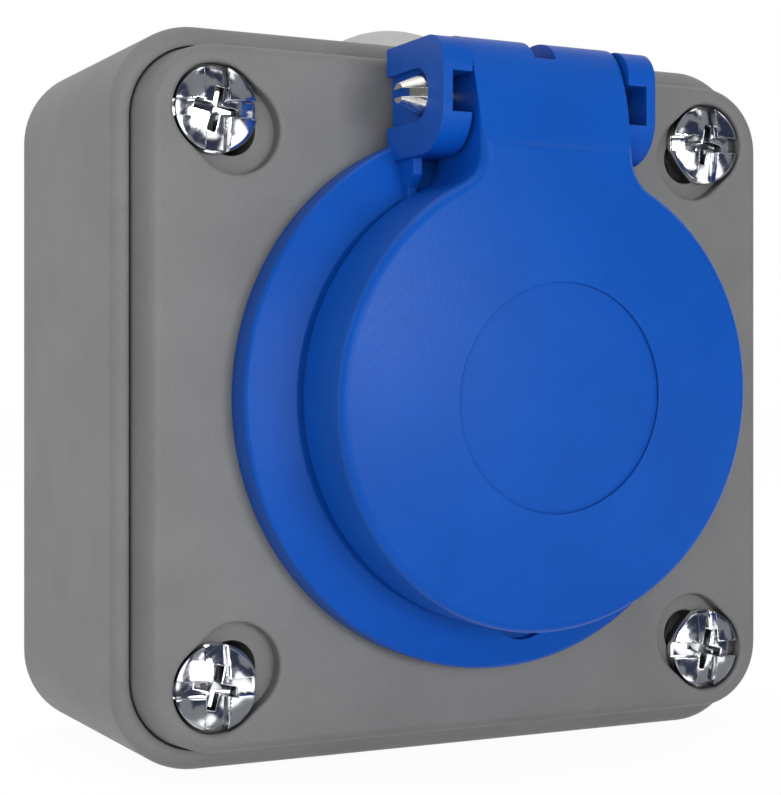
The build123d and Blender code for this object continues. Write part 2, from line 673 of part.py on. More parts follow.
def pole_contact(sx):
    """Sleeve for one plug pin with its terminal block behind the plate."""
    x = sx * PIN_SPACING / 2
    body = disc(SLEEVE_R, CARRIER_BACK, WELL_BACK, x)
    body -= disc(SLEEVE_BORE_R, CARRIER_BACK + SLEEVE_BASE, WELL_BACK, x)
    body -= block(2 * SLEEVE_R, SLEEVE_SLIT, CARRIER_BACK + SLEEVE_R, WELL_BACK, x)
    body += disc(NECK_R, PLATE_BACK, CARRIER_BACK, x)
    return body + terminal(x, 0)


def terminal(x, z):
    body = block(TERMINAL_W, TERMINAL_H, TERMINAL_BACK, PLATE_BACK, x, z)
    middle = (TERMINAL_BACK + PLATE_BACK) / 2
    body -= Pos(x, -middle, z) * Cylinder(WIRE_R, TERMINAL_H)
    return body - disc(CLAMP_R + THREAD, TERMINAL_BACK, middle, x, z + TERMINAL_H / 4)


def clamp_screw(x, z):
    z = z + TERMINAL_H / 4
    middle = (TERMINAL_BACK + PLATE_BACK) / 2
    head = disc(CLAMP_HEAD_R, TERMINAL_BACK - CLAMP_RISE, TERMINAL_BACK, x, z)
    top = TERMINAL_BACK - CLAMP_RISE
    head -= block(2 * CLAMP_HEAD_R, DRIVE_W, top, top + DRIVE_D, x, z)
    return head + disc(CLAMP_R, TERMINAL_BACK, middle, x, z)


def terminal_screws():
    pole = PIN_SPACING / 2
    return Compound([clamp_screw(-pole, 0), clamp_screw(pole, 0), clamp_screw(0, EARTH_TERMINAL_Z)])


def earth_clip(sz):
    """Side clip: a straight shank behind the floor and a bulged finger in the well."""
    half = EARTH_T / 2
    rise = EARTH_TOP - WELL_FLOOR
    waist = EARTH_Z - EARTH_BULGE
    middle = [(PLATE_BACK - EARTH_T, EARTH_Z), (WELL_FLOOR + half, EARTH_Z)]
    middle += [(WELL_FLOOR + rise * 0.45, waist), (WELL_FLOOR + rise * 0.6, waist)]
    middle += [(EARTH_TOP, EARTH_Z - 2 * SLIP)]
    outer = [(d, sz * (z + half)) for d, z in middle]
    inner = [(d, sz * (z - half)) for d, z in reversed(middle)]
    return across(make_face(Polyline(outer + inner, close=True)), -EARTH_W / 2, EARTH_W / 2)


def earth_strap():
    body = earth_clip(1) + earth_clip(-1)
    body += block(EARTH_W, 2 * EARTH_Z, PLATE_BACK - EARTH_T, PLATE_BACK)
    block_body = terminal(0, EARTH_TERMINAL_Z)
    block_body &= block(TERMINAL_W, TERMINAL_H, TERMINAL_BACK, PLATE_BACK - EARTH_T, 0, EARTH_TERMINAL_Z)
    return body + block_body


def centre_screw():
    head = disc(CENTRE_HEAD_R, WELL_FLOOR, WELL_FLOOR + CENTRE_HEAD_H)
    top = WELL_FLOOR + CENTRE_HEAD_H
    head = fillet(edges_at(head, top), CENTRE_EDGE)
    head -= block(2 * CENTRE_HEAD_R, DRIVE_W, top - DRIVE_D, top)
    return head + disc(CENTRE_R, CENTRE_END, WELL_FLOOR)


NODES = {
    "back_box": back_box,
    "cover_gasket": cover_gasket,
    "front_cover": front_cover,
    "cover_screws": cover_screws,
    "top_entry_grommet": top_entry_grommet,
    "bottom_entry_plug": bottom_entry_plug,
    "socket_body": socket_body,
    "flange_gasket": flange_gasket,
    "socket_fixing_screws": socket_fixing_screws,
    "hinge_pin": hinge_pin,
    "lid": lid,
    "lid_seal": lid_seal,
    "lid_spring": lid_spring,
    "contact_carrier": contact_carrier,
    "terminal_plate": terminal_plate,
    "plate_screws": plate_screws,
    "live_contact": lambda: pole_contact(-1),
    "neutral_contact": lambda: pole_contact(1),
    "terminal_screws": terminal_screws,
    "earth_strap": earth_strap,
    "centre_screw": centre_screw,
}

os.makedirs("parts", exist_ok=True)
for name, make in NODES.items():
    export_step(make(), "parts/" + name + ".step")
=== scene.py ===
import math

import bmesh
import bpy
from mathutils import Matrix, Vector


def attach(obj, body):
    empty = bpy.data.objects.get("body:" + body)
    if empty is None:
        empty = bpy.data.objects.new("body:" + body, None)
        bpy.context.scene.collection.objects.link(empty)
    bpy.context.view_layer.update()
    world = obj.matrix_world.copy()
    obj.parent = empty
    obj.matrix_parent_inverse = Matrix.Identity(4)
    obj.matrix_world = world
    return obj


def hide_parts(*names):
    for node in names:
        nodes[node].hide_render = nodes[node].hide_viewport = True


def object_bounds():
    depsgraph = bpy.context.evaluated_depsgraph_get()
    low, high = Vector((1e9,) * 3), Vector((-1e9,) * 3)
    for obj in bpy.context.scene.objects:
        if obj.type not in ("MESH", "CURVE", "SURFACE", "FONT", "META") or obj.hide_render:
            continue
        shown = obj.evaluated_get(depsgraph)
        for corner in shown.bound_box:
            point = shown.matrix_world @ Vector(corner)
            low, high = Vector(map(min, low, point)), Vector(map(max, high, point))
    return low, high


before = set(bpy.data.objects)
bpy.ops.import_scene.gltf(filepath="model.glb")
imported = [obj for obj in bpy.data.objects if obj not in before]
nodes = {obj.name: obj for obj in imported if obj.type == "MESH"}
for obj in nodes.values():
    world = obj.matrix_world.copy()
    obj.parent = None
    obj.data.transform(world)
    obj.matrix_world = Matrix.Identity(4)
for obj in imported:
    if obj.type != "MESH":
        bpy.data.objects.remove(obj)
cad_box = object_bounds()
MM = 0.001
SQUARE = ((-1, -1), (1, -1), (1, 1), (-1, 1))

# Corner screws: where they stand and how far each one is turned, in degrees
SCREW_ACROSS = 62.8 * MM
SCREW_UP = 60.8 * MM
SCREW_SEAT = 38.0 * MM
SCREW_TURNS = (0.5, -1.0, 1.5, -0.5)

# Their head, with its two cross channels
HEAD_R = 4.65 * MM
HEAD_RIM = 1.6 * MM
HEAD_RISE = 2.3 * MM
HEAD_EDGE = 0.12 * MM
HEAD_FOOT = 0.15 * MM
CHANNEL_WIDE = 2.6 * MM
CHANNEL_NARROW = 1.8 * MM
CHANNEL_DEEP = 0.8 * MM

# Their driver recess, a cross of two bars that narrow to their floor
DRIVE_TURN = 13.0
DRIVE_REACH = 2.7 * MM
DRIVE_WIDE = 1.1 * MM
DRIVE_DEEP = 2.1 * MM
DRIVE_FLOOR = 0.8

# Their shank: plain under the head and near the end, threaded between, with a blunt point
SHANK_R = 1.9 * MM
SHANK_LONG = 17.0 * MM
THREAD_PITCH = 0.8 * MM
THREAD_DEEP = 0.28 * MM
PLAIN_NECK = 1.5 * MM
PLAIN_END = 1.2 * MM
POINT_LONG = 0.5 * MM
POINT_SHOULDER = 0.75
POINT_TIP = 0.5

# How the screws are cut and meshed
CUTTER_OVER = 0.5 * MM
CUTTER_FOOT = 0.2 * MM
ROUNDED_BY = 0.05 * MM
ROUNDED_FROM = 32
SHARP_FROM = 28
STEPS_ROUND = 96
STEPS_OF_DOME = 14
ON_AXIS = 1e-9

# Skins: what part of each noise or mask is used, its shares (among them the painted edge
# highlight's and the crease dust and painted shade's), and edges and reaches in metres
PIT_RANGE = (0.32, 0.68)
TONE_RANGE = (0.3, 0.7)
BENT_RANGE = (0.90, 0.995)
PATCH_RANGE = (0.38, 0.62)
PATCH_LEAST = 0.25
CREASE_RANGE = (0.15, 0.75)
MARK_RANGE = (0.35, 0.65)
PIT_SHARE = 0.25
WORN_AND_HIGHLIGHT_SHARE = 0.55
RUB_POLISH = 0.1
RUB_LEAST = 0.2 * MM
DUST_AND_SHADE_SHARE = 0.5
RECESS_SHADE_REACH = 1.6 * MM
METAL_EDGE = 0.08 * MM
BEVEL_SAMPLES = 6
CREASE_SAMPLES = 8

# Roughness: steps below and above a moulding's own, and shares of a metal's own
SKIN_SMOOTHER = 0.05
SKIN_ROUGHER = 0.06
METAL_SMOOTHER = 0.7
METAL_ROUGHER = 1.5
STAIN_ROUGHER = 0.5

# Camera, solved from the outlines in the photograph: pixels, metres and degrees
PHOTO_WIDE = 781
PHOTO_HIGH = 795
FOCAL_LENGTH = 1854.03
VIEW_CENTRE = (430.0, 386.12)
CAMERA_AT = (-0.101844, -0.222096, 0.00128)
CAMERA_TURN = -27.67
CAMERA_NEAR = 0.01

# Lights: name, place, size and power, all aimed at one spot
LIGHT_AIM = (0, -0.02, 0)
LIGHTS = (
    ("lamp by the camera", (-0.15, -0.32, 0.02), (0.15, 0.20), 0.24),
    ("front window", (0.08, -0.80, 0.04), (0.25, 0.20), 1.7),
    ("overhead", (-0.15, -0.25, 0.95), (0.8, 0.6), 1.5),
    ("table glow", (-0.15, -0.50, -0.60), (0.6, 0.4), 0.2),
)

# World: strength in front of the part and behind it, and the panels that metal mirrors
MATT_STRENGTH = (0.13, 0.63)
MIRROR_STRENGTH = (1.3, 0.93)
HORIZON = 0.15
PANEL_SCALE = 4.0
PANEL_DARK = (0.020, 0.026, 0.050, 1)
PANEL_GREY = (0.16, 0.165, 0.18, 1)
PANEL_WHITE = (1, 1, 1, 1)
GREY_FROM = 0.42
WHITE_FROM = 0.76

# Floor
FLOOR_HALF = 3.0
FLOOR_BELOW = 0.4 * MM
FLOOR_COLOUR = (0.85, 0.85, 0.85)
FLOOR_GLOW = 1.08
GLOW_SHARE = 0.88


def feed(tree, socket, value):
    """A socket's source: another socket or a plain value, where three numbers are a colour."""
    if isinstance(value, bpy.types.NodeSocket):
        tree.links.new(value, socket)
    elif socket.type == "RGBA":
        socket.default_value = (*value, 1.0)
    else:
        socket.default_value = value


def add(tree, kind, feeds=None, **settings):
    """Node of a kind: settings are its own properties, feeds go to its sockets."""
    made = tree.nodes.new(kind)
    for name, value in settings.items():
        setattr(made, name, value)
    for socket, value in (feeds or {}).items():
        feed(tree, made.inputs[socket], value)
    return made


def maths(tree, operation, first, second, clamp=False):
    feeds = {0: first, 1: second}
    return add(tree, "ShaderNodeMath", feeds, operation=operation, use_clamp=clamp).outputs[0]


def times(tree, first, second):
    return maths(tree, "MULTIPLY", first, second)


def blend(tree, factor, low, high):
    """Colour between two colours by a mask."""
    return add(tree, "ShaderNodeMix", {0: factor, 6: low, 7: high}, data_type="RGBA").outputs[2]


def spread(tree, value, low, high, from_low=0.0, from_high=1.0):
    """Value carried from one range to another."""
    ends = {"From Min": from_low, "From Max": from_high, "To Min": low, "To Max": high}
    return add(tree, "ShaderNodeMapRange", {"Value": value, **ends}).outputs["Result"]


def noise(tree, where, scale, detail, roughness=0.5):
    feeds = {"Vector": where, "Scale": scale, "Detail": detail, "Roughness": roughness}
    return add(tree, "ShaderNodeTexNoise", feeds).outputs["Fac"]


def per_metre(tree, size):
    """Texture scale for a grain of that size in millimetres."""
    return maths(tree, "DIVIDE", 1000.0, size)


def effect(name, inputs, outputs):
    """Empty shader node group with named inputs and outputs."""
    group = bpy.data.node_groups.new(name, "ShaderNodeTree")
    face = group.interface
    for label, value in inputs.items():
        socket = face.new_socket(label, in_out="INPUT", socket_type="NodeSocketFloat")
        socket.default_value = value
    for label in outputs:
        face.new_socket(label, in_out="OUTPUT", socket_type="NodeSocketFloat")
    return group, group.nodes.new("NodeGroupInput"), group.nodes.new("NodeGroupOutput")


def place(tree, group, **values):
    """Group node in a material, with its own values."""
    feeds = {label.replace("_", " "): value for label, value in values.items()}
    return add(tree, "ShaderNodeGroup", feeds, node_tree=group)


def place_of_point(tree):
    return add(tree, "ShaderNodeTexCoord").outputs["Object"]


def make_moulded_grain():
    """Spark-eroded skin of a moulding: fine pits, and a tone that drifts over the surface."""
    sizes = {"Grain mm": 0.3, "Drift mm": 9.0}
    group, start, end = effect("moulded grain", sizes, ("Height", "Tone"))
    where = place_of_point(group)
    fine_scale = per_metre(group, start.outputs["Grain mm"])
    slow_scale = per_metre(group, start.outputs["Drift mm"])
    fine = noise(group, where, fine_scale, detail=3.0, roughness=0.62)
    slow = noise(group, where, slow_scale, detail=4.0)
    pits = spread(group, fine, 0.0, 1.0, *PIT_RANGE)
    drift = times(group, slow, 1.0 - PIT_SHARE)
    tone = maths(group, "ADD", drift, times(group, pits, PIT_SHARE))
    feed(group, end.inputs["Height"], pits)
    feed(group, end.inputs["Tone"], tone)
    return group


def make_edge_rub_and_highlight():
    """Mask of the corners that hands and tools rub, broken up by noise; moulded skins also paint a
    highlight along these edges with it.
    """
    group, start, end = effect("edge rub and highlight", {"Radius": 0.4 * MM, "Patch mm": 2.5}, ("Mask",))
    radius = {"Radius": start.outputs["Radius"]}
    rounded = add(group, "ShaderNodeBevel", radius, samples=BEVEL_SAMPLES).outputs["Normal"]
    flat = add(group, "ShaderNodeNewGeometry").outputs["Normal"]
    dot = add(group, "ShaderNodeVectorMath", {0: rounded, 1: flat}, operation="DOT_PRODUCT")
    bent = spread(group, dot.outputs["Value"], 1.0, 0.0, *BENT_RANGE)
    patch_scale = per_metre(group, start.outputs["Patch mm"])
    patch = noise(group, place_of_point(group), patch_scale, detail=5.0)
    broken = spread(group, patch, PATCH_LEAST, 1.0, *PATCH_RANGE)
    feed(group, end.inputs["Mask"], maths(group, "MULTIPLY", bent, broken, clamp=True))
    return group


def make_dust_and_crease_shade():
    """Mask of the creases, where dust settles and where shade is painted."""
    group, start, end = effect("settled dust and painted shade", {"Reach": 3.0 * MM}, ("Mask",))
    reach = {"Distance": start.outputs["Reach"]}
    near = add(group, "ShaderNodeAmbientOcclusion", reach, samples=CREASE_SAMPLES)
    closed = spread(group, near.outputs["AO"], 1.0, 0.0, *CREASE_RANGE)
    feed(group, end.inputs["Mask"], closed)
    return group


def make_fine_scratches():
    """Hairlines that run one way on drawn, plated or rubbed metal, and a cloud of dulled spots."""
    sizes = {"Along": 30.0, "Across": 2500.0, "Turn": 0.0}
    group, start, end = effect("fine scratches", sizes, ("Lines", "Cloud"))
    along, across, turn = (start.outputs[label] for label in sizes)
    where = place_of_point(group)
    stretch = add(group, "ShaderNodeCombineXYZ", {0: along, 1: across, 2: across}).outputs[0]
    way = {"Vector": where, "Angle": turn}
    turned = add(group, "ShaderNodeVectorRotate", way, rotation_type="Y_AXIS").outputs[0]
    scaled = add(group, "ShaderNodeVectorMath", {0: turned, 1: stretch}, operation="MULTIPLY")
    lines = noise(group, scaled.outputs[0], scale=1.0, detail=4.0)
    cloud = noise(group, where, scale=420.0, detail=5.0)
    for label, value in (("Lines", lines), ("Cloud", cloud)):
        feed(group, end.inputs[label], spread(group, value, 0.0, 1.0, *MARK_RANGE))
    return group


GRAIN = make_moulded_grain()
RUB_AND_HIGHLIGHT = make_edge_rub_and_highlight()
DUST_AND_SHADE = make_dust_and_crease_shade()
SCRATCHES = make_fine_scratches()


def new_material(name):
    material = bpy.data.materials.new(name)
    material.use_nodes = True
    tree = material.node_tree
    return material, tree, tree.nodes["Principled BSDF"]


def raise_skin(tree, shader, height, depth, edge):
    """Bump of a depth from a height, on edges softened by a radius, both in metres."""
    rounded = add(tree, "ShaderNodeBevel", {"Radius": edge}, samples=BEVEL_SAMPLES)
    feeds = {"Strength": 1.0, "Distance": depth, "Height": height}
    bump = add(tree, "ShaderNodeBump", {**feeds, "Normal": rounded.outputs["Normal"]})
    feed(tree, shader.inputs["Normal"], bump.outputs["Normal"])


def moulded(name, low, high, worn_and_highlight, dust_and_shade, grain, depth, rough, edge, sheen=0.0, gloss=0.5):
    """Moulded plastic or rubber: toned skin, rubbed edges with a painted highlight, creases with
    dust on dark skins and painted shade on lighter ones, and a fine grain.

    The grain is in millimetres, its depth and the softened edge in metres."""
    material, tree, shader = new_material(name)
    skin = place(tree, GRAIN, Grain_mm=grain)
    rub_and_highlight = place(tree, RUB_AND_HIGHLIGHT, Radius=max(edge, RUB_LEAST)).outputs["Mask"]
    creases = place(tree, DUST_AND_SHADE).outputs["Mask"]
    tone = spread(tree, skin.outputs["Tone"], 0.0, 1.0, *TONE_RANGE)
    colour = blend(tree, tone, low, high)
    # Painted highlight: the edge mask lightens the colour along the rounded edges.
    colour = blend(tree, times(tree, rub_and_highlight, WORN_AND_HIGHLIGHT_SHARE), colour, worn_and_highlight)
    # Creases take their own colour: painted shade on the lighter skins, lighter dust on the dark
    # ones.
    colour = blend(tree, times(tree, creases, DUST_AND_SHADE_SHARE), colour, dust_and_shade)
    height = skin.outputs["Height"]
    level = spread(tree, height, rough - SKIN_SMOOTHER, rough + SKIN_ROUGHER)
    level = maths(tree, "SUBTRACT", level, times(tree, rub_and_highlight, RUB_POLISH))
    feed(tree, shader.inputs["Base Color"], colour)
    feed(tree, shader.inputs["Roughness"], level)
    feed(tree, shader.inputs["Sheen Weight"], sheen)
    feed(tree, shader.inputs["Specular IOR Level"], gloss)
    raise_skin(tree, shader, height, depth, edge)
    return material


def metal(name, clean, dull, spots, rough, along, across, turn, depth, recess_shade=None):
    """Bare or plated metal: hairlines, a cloud of dulled spots and, if named, painted shade in its
    creases.
    """
    material, tree, shader = new_material(name)
    marks = place(tree, SCRATCHES, Along=along, Across=across, Turn=turn)
    lines, cloud = marks.outputs["Lines"], marks.outputs["Cloud"]
    colour = blend(tree, times(tree, cloud, spots), clean, dull)
    if recess_shade:
        # Painted shade: the creases and recesses of the metal are darkened towards the given
        # colour.
        creases = place(tree, DUST_AND_SHADE, Reach=RECESS_SHADE_REACH).outputs["Mask"]
        colour = blend(tree, creases, colour, recess_shade)
    level = spread(tree, lines, rough * METAL_SMOOTHER, rough * METAL_ROUGHER)
    level = maths(tree, "ADD", level, times(tree, cloud, rough * STAIN_ROUGHER))
    feed(tree, shader.inputs["Base Color"], colour)
    feed(tree, shader.inputs["Metallic"], 1.0)
    feed(tree, shader.inputs["Roughness"], level)
    raise_skin(tree, shader, lines, depth, METAL_EDGE)
    return material


grey_cover = moulded(
    "grey cover", low=(0.222, 0.221, 0.217), high=(0.266, 0.265, 0.259),
    worn_and_highlight=(0.52, 0.52, 0.51), dust_and_shade=(0.11, 0.108, 0.10),
    grain=0.26, depth=0.022 * MM, rough=0.50, edge=0.4 * MM
)
grey_box = moulded(
    "grey back box", low=(0.245, 0.245, 0.243), high=(0.292, 0.292, 0.289),
    worn_and_highlight=(0.46, 0.46, 0.455), dust_and_shade=(0.13, 0.128, 0.12),
    grain=0.26, depth=0.022 * MM, rough=0.50, edge=0.4 * MM
)
blue_cover = moulded(
    "blue lid and flange", low=(0.002, 0.096, 0.53), high=(0.003, 0.112, 0.60),
    worn_and_highlight=(0.01, 0.15, 0.68), dust_and_shade=(0.001, 0.04, 0.20),
    grain=0.35, depth=0.006 * MM, rough=0.38, edge=0.2 * MM, gloss=0.2
)
light_rubber = moulded(
    "light grommet rubber", low=(0.65, 0.655, 0.64), high=(0.77, 0.77, 0.755),
    worn_and_highlight=(0.82, 0.82, 0.81), dust_and_shade=(0.42, 0.41, 0.38),
    grain=0.4, depth=0.01 * MM, rough=0.55, edge=0.2 * MM, sheen=0.1
)
grey_plug = moulded(
    "grey blanking plug", low=(0.23, 0.232, 0.232), high=(0.275, 0.277, 0.275),
    worn_and_highlight=(0.38, 0.38, 0.375), dust_and_shade=(0.11, 0.108, 0.10),
    grain=0.3, depth=0.015 * MM, rough=0.5, edge=0.2 * MM
)
seal_rubber = moulded(
    "black seal rubber", low=(0.016, 0.016, 0.017), high=(0.026, 0.026, 0.027),
    worn_and_highlight=(0.06, 0.06, 0.06), dust_and_shade=(0.05, 0.048, 0.042),
    grain=0.5, depth=0.01 * MM, rough=0.62, edge=0.1 * MM, sheen=0.2
)
dark_carrier = moulded(
    "dark contact carrier", low=(0.022, 0.022, 0.024), high=(0.034, 0.034, 0.036),
    worn_and_highlight=(0.08, 0.08, 0.082), dust_and_shade=(0.06, 0.055, 0.05),
    grain=0.3, depth=0.01 * MM, rough=0.45, edge=0.15 * MM
)
bright_plating = metal(
    "bright plated screw", clean=(0.86, 0.87, 0.88), dull=(0.62, 0.63, 0.65), spots=0.25,
    rough=0.07, along=900.0, across=2600.0, turn=0.6, depth=0.0008 * MM,
    recess_shade=(0.004, 0.004, 0.005)
)
zinc_plating = metal(
    "zinc plated screw", clean=(0.66, 0.66, 0.64), dull=(0.50, 0.47, 0.36), spots=0.5,
    rough=0.24, along=1200.0, across=2200.0, turn=0.3, depth=0.002 * MM
)
pin_steel = metal(
    "polished pin", clean=(0.80, 0.79, 0.73), dull=(0.58, 0.56, 0.50), spots=0.3,
    rough=0.16, along=60.0, across=3000.0, turn=0.0, depth=0.001 * MM
)
spring_wire = metal(
    "drawn spring wire", clean=(0.50, 0.50, 0.51), dull=(0.30, 0.29, 0.29), spots=0.4,
    rough=0.28, along=200.0, across=5000.0, turn=0.0, depth=0.001 * MM
)
contact_brass = metal(
    "contact brass", clean=(0.78, 0.57, 0.26), dull=(0.45, 0.28, 0.12), spots=0.5,
    rough=0.22, along=60.0, across=2400.0, turn=1.57, depth=0.0015 * MM
)
strip_nickel = metal(
    "nickel plated strip", clean=(0.68, 0.67, 0.63), dull=(0.48, 0.46, 0.42), spots=0.4,
    rough=0.2, along=80.0, across=2800.0, turn=1.57, depth=0.0015 * MM
)

FINISHES = {
    "back_box": grey_box,
    "front_cover": grey_cover,
    "bottom_entry_plug": grey_plug,
    "top_entry_grommet": light_rubber,
    "socket_body": blue_cover,
    "lid": blue_cover,
    "cover_gasket": seal_rubber,
    "flange_gasket": seal_rubber,
    "lid_seal": seal_rubber,
    "contact_carrier": dark_carrier,
    "terminal_plate": dark_carrier,
    "cover_screws": bright_plating,
    "socket_fixing_screws": zinc_plating,
    "plate_screws": zinc_plating,
    "terminal_screws": zinc_plating,
    "centre_screw": zinc_plating,
    "hinge_pin": pin_steel,
    "lid_spring": spring_wire,
    "live_contact": contact_brass,
    "neutral_contact": contact_brass,
    "earth_strap": strip_nickel,
}


def dress(piece, material):
    piece.data.materials.clear()
    piece.data.materials.append(material)


for name, material in FINISHES.items():
    dress(nodes[name], material)


def new_piece(name, data, material=None):
    made = bpy.data.objects.new(name, data)
    bpy.context.scene.collection.objects.link(made)
    if material:
        dress(made, material)
    return made


def settled_mesh(piece):
    """Plain mesh of a piece with its modifiers worked out."""
    bpy.context.view_layer.update()
    settled = piece.evaluated_get(bpy.context.evaluated_depsgraph_get())
    return bpy.data.meshes.new_from_object(settled)


def mesh_from(name, work):
    mesh = bpy.data.meshes.new(name)
    work.to_mesh(mesh)
    work.free()
    return mesh


def lathe(name, profile):
    """Turned solid about Z from (radius, height) points that start and end on the axis."""
    work = bmesh.new()
    turns = [2 * math.pi * i / STEPS_ROUND for i in range(STEPS_ROUND)]
    rings = []
    for radius, height in profile:
        if radius < ON_AXIS:
            spots = [(0, 0, height)]
        else:
            spots = [(radius * math.cos(a), radius * math.sin(a), height) for a in turns]
        rings.append([work.verts.new(spot) for spot in spots])
    for low, high in zip(rings, rings[1:]):
        for i in range(STEPS_ROUND):
            j = (i + 1) % STEPS_ROUND
            below = [low[i % len(low)], low[j % len(low)]]
            above = [high[j % len(high)], high[i % len(high)]]
            seen = list(dict.fromkeys(below + above))
            if len(seen) > 2:
                work.faces.new(seen)
    bmesh.ops.recalc_face_normals(work, faces=work.faces)
    return mesh_from(name, work)


def tapered_bar(name, length, width, top, depth, shrink):
    """Closed cutter along X: full size at the top, narrower at its floor."""
    work = bmesh.new()
    rings = []
    for height, scale in ((top, 1.0), (top - depth, shrink)):
        x = length / 2 * scale
        y = width / 2 * scale
        rings.append([work.verts.new((sx * x, sy * y, height)) for sx, sy in SQUARE])
    for i in range(4):
        j = (i + 1) % 4
        work.faces.new((rings[0][i], rings[0][j], rings[1][j], rings[1][i]))
    work.faces.new(rings[0])
    work.faces.new(list(reversed(rings[1])))
    bmesh.ops.recalc_face_normals(work, faces=work.faces)
    return mesh_from(name, work)


def cut(body, cutter):
    step = body.modifiers.new("cut", "BOOLEAN")
    step.operation = "DIFFERENCE"
    step.solver = "EXACT"
    step.object = cutter
    mesh = settled_mesh(body)
    body.modifiers.clear()
    body.data = mesh
    bpy.data.objects.remove(cutter)


def head_dome(drop=0.0):
    """Crown of the head from its apex out to the rim, let down by a depth."""
    rise = HEAD_RISE - HEAD_RIM
    ball = (HEAD_R ** 2 + rise ** 2) / (2 * rise)
    centre = HEAD_RISE - ball - drop
    reach = math.asin((HEAD_R - HEAD_EDGE) / ball)
    turns = [reach * i / STEPS_OF_DOME for i in range(STEPS_OF_DOME + 1)]
    return [(ball * math.sin(a), centre + ball * math.cos(a)) for a in turns]


def screw_profile():
    """Flat head with a low dome, and a shank with rolled threads. The seat is at height 0."""
    rim = [(HEAD_R, HEAD_RIM - HEAD_EDGE), (HEAD_R, HEAD_FOOT), (HEAD_R - HEAD_FOOT, 0.0)]
    shank = [(SHANK_R, 0.0)]
    depth = -PLAIN_NECK
    while depth > -SHANK_LONG + PLAIN_END:
        shank += [(SHANK_R, depth), (SHANK_R - THREAD_DEEP, depth - THREAD_PITCH * 0.5)]
        depth -= THREAD_PITCH
    shoulder = (SHANK_R * POINT_SHOULDER, -SHANK_LONG + POINT_LONG)
    tip = [shoulder, (SHANK_R * POINT_TIP, -SHANK_LONG), (0, -SHANK_LONG)]
    return head_dome() + rim + shank + tip


def cutter_bar(name, turn, *sizes):
    """Bar through the head's axis, turned by degrees."""
    bar = new_piece(name, tapered_bar(name, *sizes))
    bar.data.transform(Matrix.Rotation(math.radians(turn), 4, "Z"))
    return bar


def make_screw():
    """Mesh of one cover screw, with its head towards the front (-Y) and its seat at y = 0."""
    screw = new_piece("cover_screw_form", lathe("cover_screw_form", screw_profile()))
    over = HEAD_RISE + CUTTER_OVER
    dome = head_dome(CHANNEL_DEEP)
    floor = dome + [(2 * HEAD_R, dome[-1][1]), (2 * HEAD_R, 0.0), (0, 0.0)]
    for turn, wide in ((0.0, CHANNEL_NARROW), (90.0, CHANNEL_WIDE)):
        bar = cutter_bar("channel", turn, 3 * HEAD_R, wide, over, over - CUTTER_FOOT, 1.0)
        cut(bar, new_piece("channel floor", lathe("channel floor", floor)))
        cut(screw, bar)
    deep = over - (HEAD_RISE - DRIVE_DEEP)
    for turn in (-DRIVE_TURN, 90.0 - DRIVE_TURN):
        cut(screw, cutter_bar("drive", turn, 2 * DRIVE_REACH, DRIVE_WIDE, over, deep, DRIVE_FLOOR))
    edge = screw.modifiers.new("edge", "BEVEL")
    edge.width = ROUNDED_BY
    edge.segments = 2
    edge.limit_method = "ANGLE"
    edge.angle_limit = math.radians(ROUNDED_FROM)
    mesh = settled_mesh(screw)
    bpy.data.objects.remove(screw)
    mesh.transform(Matrix.Rotation(math.radians(90), 4, "X"))
    for face in mesh.polygons:
        face.use_smooth = True
    mesh.set_sharp_from_angle(angle=math.radians(SHARP_FROM))
    return mesh


def corner_screws_tree():
    """Sets one screw at each corner of the cover, each turned by its own angle."""
    tree = bpy.data.node_groups.new("corner screws", "GeometryNodeTree")
    face = tree.interface
    turn_names = ["Turn " + str(i + 1) for i in range(len(SCREW_TURNS))]
    face.new_socket("Screw", in_out="INPUT", socket_type="NodeSocketObject")
    for label in ["Across", "Up", "Seat"] + turn_names:
        face.new_socket(label, in_out="INPUT", socket_type="NodeSocketFloat")
    face.new_socket("Plating", in_out="INPUT", socket_type="NodeSocketMaterial")
    face.new_socket("Screws", in_out="OUTPUT", socket_type="NodeSocketGeometry")
    given = tree.nodes.new("NodeGroupInput").outputs
    end = tree.nodes.new("NodeGroupOutput")
    seat = add(tree, "ShaderNodeCombineXYZ", {1: times(tree, given["Seat"], -1.0)}).outputs[0]
    sizes = {"Vertices X": 2, "Vertices Y": 2, "Size X": given["Across"], "Size Y": given["Up"]}
    corners = add(tree, "GeometryNodeMeshGrid", sizes).outputs["Mesh"]
    stand = {"Geometry": corners, "Translation": seat, "Rotation": (math.radians(90), 0, 0)}
    upright = add(tree, "GeometryNodeTransform", stand).outputs["Geometry"]
    which = add(tree, "GeometryNodeIndexSwitch", data_type="FLOAT")
    while len(which.index_switch_items) < len(turn_names):
        which.index_switch_items.new()
    feed(tree, which.inputs["Index"], add(tree, "GeometryNodeInputIndex").outputs[0])
    for i, label in enumerate(turn_names):
        feed(tree, which.inputs[i + 1], given[label])
    turn = add(tree, "ShaderNodeCombineXYZ", {1: which.outputs[0]}).outputs[0]
    form = add(tree, "GeometryNodeObjectInfo", {"Object": given["Screw"]}).outputs["Geometry"]
    stood = {"Points": upright, "Instance": form, "Rotation": turn}
    screws = add(tree, "GeometryNodeInstanceOnPoints", stood).outputs["Instances"]
    solid = add(tree, "GeometryNodeRealizeInstances", {"Geometry": screws}).outputs["Geometry"]
    plated = add(tree, "GeometryNodeSetMaterial", {"Geometry": solid, "Material": given["Plating"]})
    feed(tree, end.inputs["Screws"], plated.outputs["Geometry"])
    return tree


def grown(name, tree, values):
    """Plain mesh piece made by a geometry tree from named values."""
    carrier = new_piece(name, bpy.data.meshes.new(name))
    step = carrier.modifiers.new("grow", "NODES")
    step.node_group = tree
    for item in tree.interface.items_tree:
        if item.in_out == "INPUT":
            step[item.identifier] = values[item.name]
    mesh = settled_mesh(carrier)
    carrier.modifiers.clear()
    carrier.data = mesh
    return carrier


